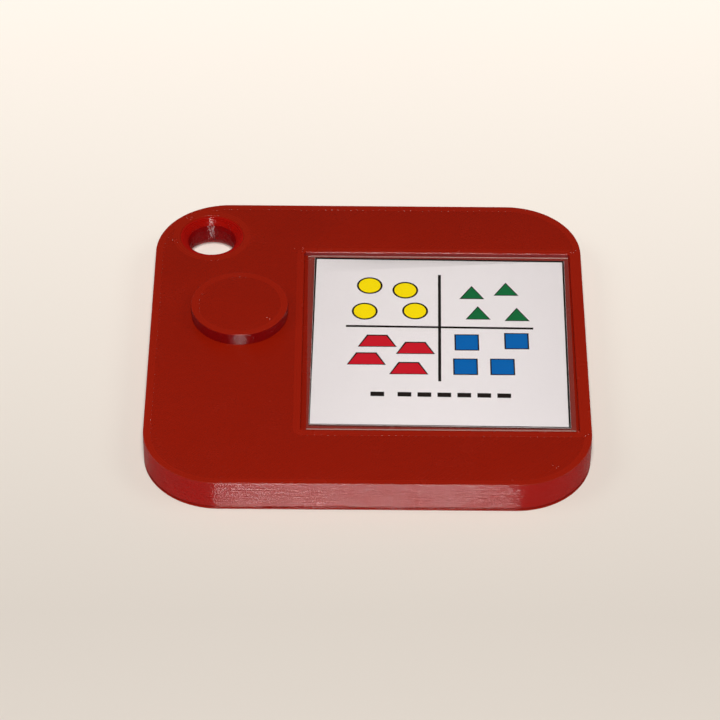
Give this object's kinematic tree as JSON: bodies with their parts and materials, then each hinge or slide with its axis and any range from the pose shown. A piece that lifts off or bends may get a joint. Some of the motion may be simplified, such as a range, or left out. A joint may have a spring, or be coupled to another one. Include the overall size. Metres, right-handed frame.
{
  "type": "tactile picture badge",
  "caption": "Flat rounded badge plate with a hanging hole, a raised round button to feel, and a recess holding a sealed picture card.",
  "frame": {"origin": "centre of the plate's underside", "axes": "+X from the button side to the picture side, +Y towards the picture's head and the hanging hole's edge, +Z out of the picture's face"},
  "size_m": [0.0868, 0.0842, 0.0094],
  "materials": {
    "plate_plastic": "layered, semi-gloss",
    "button_plastic": "layered, semi-gloss",
    "tape": "matt",
    "clear_film": "clear, glossy",
    "card": "printed, satin",
    "ink_black": "printed ink, satin",
    "ink_yellow": "printed ink, satin",
    "ink_green": "printed ink, satin",
    "ink_red": "printed ink, satin",
    "ink_blue": "printed ink, satin"
  },
  "bodies": {
    "plate": {"base_plate": "plate_plastic", "button_disc": "button_plastic", "tape_strip_left": "tape", "tape_strip_right": "tape"},
    "sealed_card": {"laminate_back_film": "clear_film", "picture_card": "card", "laminate_front_film": "clear_film"}
  },
  "joints": [
    {"name": "card_lift", "type": "slide", "parent": "plate", "child": "sealed_card", "axis": [0, 0, 1], "range_m": [0, 0.015]}
  ]
}
